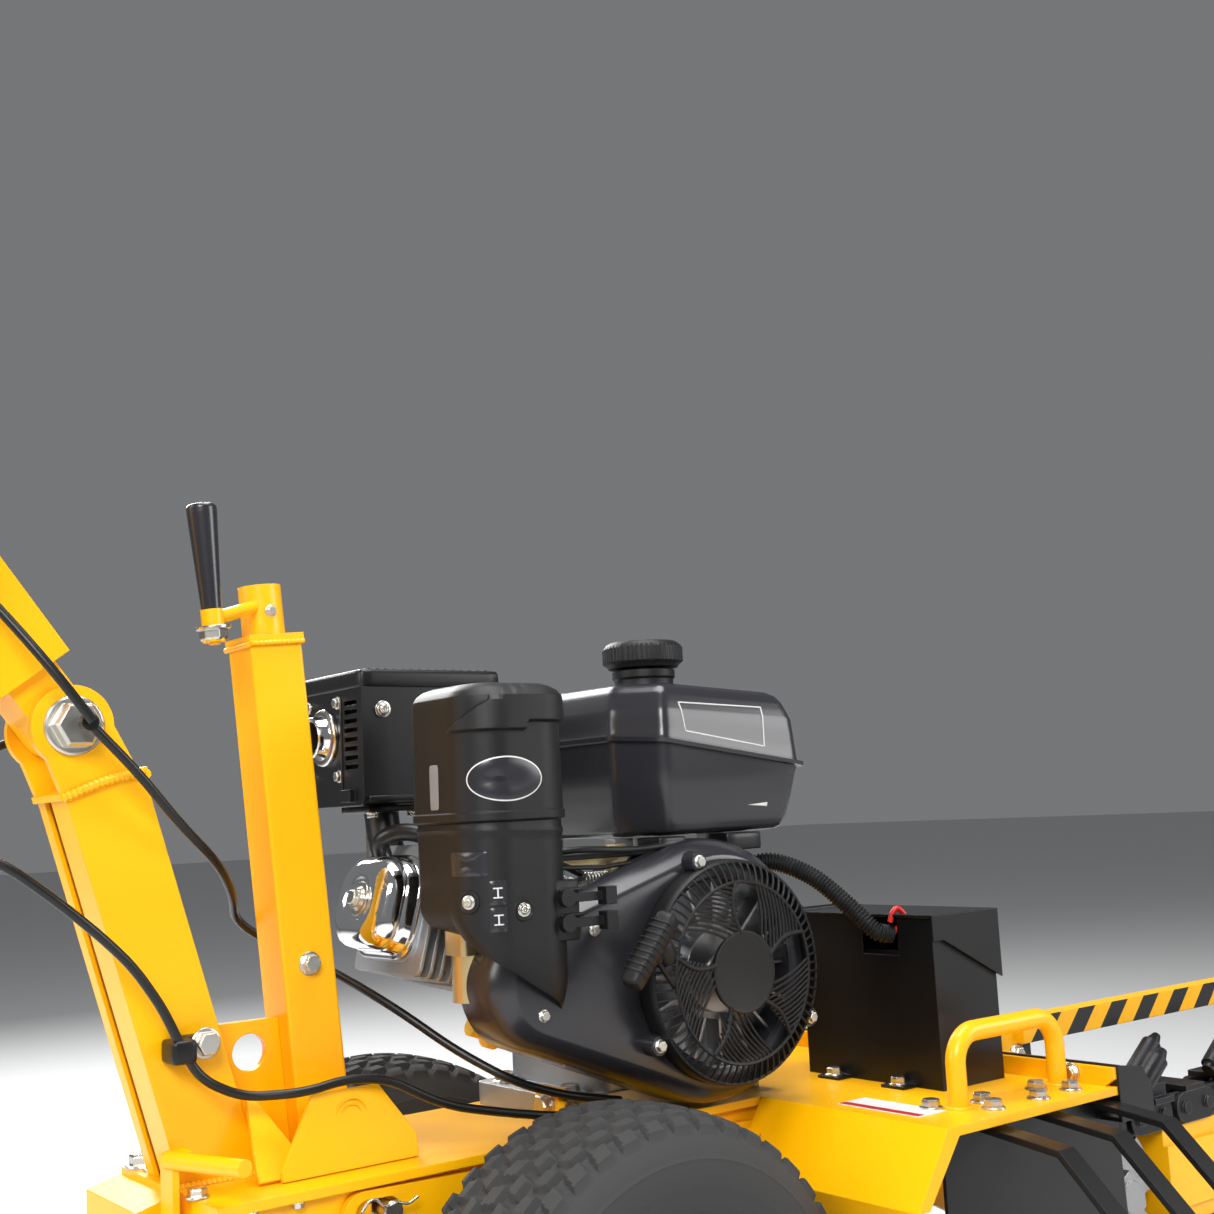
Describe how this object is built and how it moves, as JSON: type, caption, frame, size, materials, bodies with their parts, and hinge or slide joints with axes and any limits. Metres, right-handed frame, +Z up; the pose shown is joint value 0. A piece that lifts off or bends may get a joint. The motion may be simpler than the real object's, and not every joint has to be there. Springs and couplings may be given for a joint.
{
  "type": "walk-behind trencher",
  "caption": "Walk-behind trencher with a toothed digging chain on a long boom, a horizontal-shaft engine, jacked drive wheels and a folding handle.",
  "frame": {"origin": "on the ground under the middle of the drive-wheel axle", "axes": "+X towards the digging boom, +Y to the operator's left, +Z up"},
  "size_m": [2.081, 0.8185, 1.1223],
  "materials": {
    "yellow_paint": "gloss powder coat",
    "black_paint": "satin black",
    "hazard_paint": "yellow with black stripes",
    "zinc": "zinc plated",
    "steel": "machined steel",
    "chain_steel": "dark oiled steel",
    "bare_aluminium": "die cast",
    "chrome": "polished",
    "black_plastic": "textured",
    "gloss_black": "smooth",
    "tyre_rubber": "black rubber",
    "rubber": "black rubber",
    "brass_bowl": "yellow passivated",
    "yellow_plastic": "moulded",
    "rim_paint": "white"
  },
  "bodies": {
    "chassis": {"deck_frame": "yellow_paint", "front_plate": "yellow_paint", "grab_loop": "yellow_paint", "guard_bars": "black_paint", "chain_housing": "black_paint", "hazard_bar": "hazard_paint", "jack_column": "yellow_paint", "column_gussets": "yellow_paint", "handle_column": "yellow_paint", "pivot_bolt": "zinc", "chain_inner_links": "chain_steel", "chain_outer_links": "chain_steel", "digging_teeth": "chain_steel", "boom_bar": "yellow_paint", "headshaft_carrier": "yellow_paint", "head_sprocket": "steel", "belt_pulleys": "steel", "drive_belt": "rubber", "belt_guard": "yellow_paint", "engine_block": "bare_aluminium", "cylinder_head": "bare_aluminium", "valve_cover": "chrome", "blower_housing": "gloss_black", "recoil_cover": "gloss_black", "fuel_tank": "black_paint", "air_cleaner_base": "black_plastic", "carburettor": "brass_bowl", "muffler": "steel", "muffler_guard": "black_paint", "battery_box": "black_paint", "battery": "black_plastic", "control_cables": "rubber", "battery_cables": "rubber", "cable_clamp": "zinc", "frame_bolts": "zinc"},
    "handle": {"upper_handle": "yellow_paint", "hand_grips": "rubber", "handle_cables": "rubber"},
    "clutch": {"clutch_lever": "black_paint"},
    "throttle": {"throttle_lever": "black_plastic"},
    "leg": {"jack_leg": "steel"},
    "crank": {"crank_handle": "yellow_paint"},
    "crank_knob": {"crank_grip": "gloss_black"},
    "wheel_carrier": {"wheel_arm": "yellow_paint", "transaxle": "bare_aluminium"},
    "right_wheel": {"right_rim": "rim_paint", "right_tyre": "tyre_rubber"},
    "left_wheel": {"left_rim": "rim_paint", "left_tyre": "tyre_rubber"},
    "front_wheels": {"gauge_wheels": "black_plastic"},
    "engine_rotor": {"crankshaft": "steel"},
    "boom_nose": {"nose_roller": "steel"},
    "tank_cap": {"fuel_cap": "black_plastic"},
    "filter_cover": {"air_cleaner_cover": "black_plastic"},
    "starter_grip": {"pull_grip": "black_plastic"},
    "choke": {"choke_lever": "black_plastic"},
    "fuel_tap": {"fuel_lever": "black_plastic"},
    "box_lid": {"battery_lid": "black_paint"},
    "lock": {"lock_lever": "yellow_paint"},
    "dipstick": {"oil_plug": "yellow_plastic"}
  },
  "joints": [
    {"name": "handle_fold", "type": "hinge", "parent": "chassis", "child": "handle", "pos_m": [-0.411, 0, 0.753], "axis": [0, -1, 0], "range_deg": [-25, 35]},
    {"name": "clutch_lever_pivot", "type": "hinge", "parent": "handle", "child": "clutch", "pos_m": [-0.63329, 0, 1.04827], "axis": [0, -1, 0], "range_deg": [0, 12], "stiffness_Nm_per_rad": 2, "springref_deg": -11.46},
    {"name": "throttle_lever_pivot", "type": "hinge", "parent": "handle", "child": "throttle", "pos_m": [-0.63329, 0, 1.04827], "axis": [0, 1, 0], "range_deg": [-30, 40]},
    {"name": "crank_spin", "type": "hinge", "parent": "chassis", "child": "crank", "pos_m": [-0.22377, 0, 0.83697], "axis": [-0.0872, 0, 0.9962], "range_deg": [0, 4320]},
    {"name": "leg_slide", "type": "slide", "parent": "chassis", "child": "leg", "axis": [0.0872, 0, -0.9962], "range_m": [0, 0.18]},
    {"name": "arm_pitch", "type": "hinge", "parent": "chassis", "child": "wheel_carrier", "pos_m": [0.252, 0, 0.33], "axis": [0, -1, 0], "range_deg": [0, 23.46]},
    {"name": "crank_grip_spin", "type": "hinge", "parent": "crank", "child": "crank_knob", "pos_m": [-0.30176, -0.06252, 0.86267], "axis": [-0.0872, 0, 0.9962], "continuous": true},
    {"name": "right_wheel_spin", "type": "hinge", "parent": "wheel_carrier", "child": "right_wheel", "pos_m": [0, -0.216, 0.205], "axis": [0, 1, 0], "continuous": true},
    {"name": "left_wheel_spin", "type": "hinge", "parent": "wheel_carrier", "child": "left_wheel", "pos_m": [0, 0.216, 0.205], "axis": [0, 1, 0], "continuous": true},
    {"name": "front_wheel_spin", "type": "hinge", "parent": "chassis", "child": "front_wheels", "pos_m": [0.43, 0, 0.1], "axis": [0, 1, 0], "continuous": true},
    {"name": "engine_spin", "type": "hinge", "parent": "chassis", "child": "engine_rotor", "pos_m": [0.177, 0, 0.503], "axis": [0, 1, 0], "continuous": true},
    {"name": "nose_roller_spin", "type": "hinge", "parent": "chassis", "child": "boom_nose", "pos_m": [1.19065, -0.29, 0.247], "axis": [0, 1, 0], "continuous": true},
    {"name": "fuel_cap_lift", "type": "slide", "parent": "chassis", "child": "tank_cap", "axis": [0, 0, 1], "range_m": [0, 0.08]},
    {"name": "filter_cover_lift", "type": "slide", "parent": "chassis", "child": "filter_cover", "axis": [0, 0, 1], "range_m": [0, 0.14]},
    {"name": "starter_pull", "type": "slide", "parent": "chassis", "child": "starter_grip", "axis": [-0.7033, -0.35, 0.6187], "range_m": [0, 0.06], "stiffness_N_per_m": 60, "springref_m": -0.02},
    {"name": "choke_pivot", "type": "hinge", "parent": "chassis", "child": "choke", "pos_m": [-0.023, -0.178, 0.587], "axis": [0, -1, 0], "range_deg": [0, 25]},
    {"name": "fuel_tap_pivot", "type": "hinge", "parent": "chassis", "child": "fuel_tap", "pos_m": [-0.023, -0.178, 0.565], "axis": [0, 1, 0], "range_deg": [0, 25]},
    {"name": "battery_lid_hinge", "type": "hinge", "parent": "chassis", "child": "box_lid", "pos_m": [0.418, -0.061, 0.542], "axis": [-1, 0, 0], "range_deg": [0, 105]},
    {"name": "lock_lever_pivot", "type": "hinge", "parent": "chassis", "child": "lock", "pos_m": [-0.341, -0.058, 0.312], "axis": [0, -1, 0], "range_deg": [0, 45]},
    {"name": "dipstick_pull", "type": "slide", "parent": "chassis", "child": "dipstick", "axis": [-0.9377, 0, 0.3473], "range_m": [0, 0.04]}
  ],
  "couplings": [
    {"joint": "leg_slide", "follows": "crank_spin", "m_per_rad": 0.0023873},
    {"joint": "arm_pitch", "follows": "crank_spin", "ratio": 0.0054311}
  ]
}
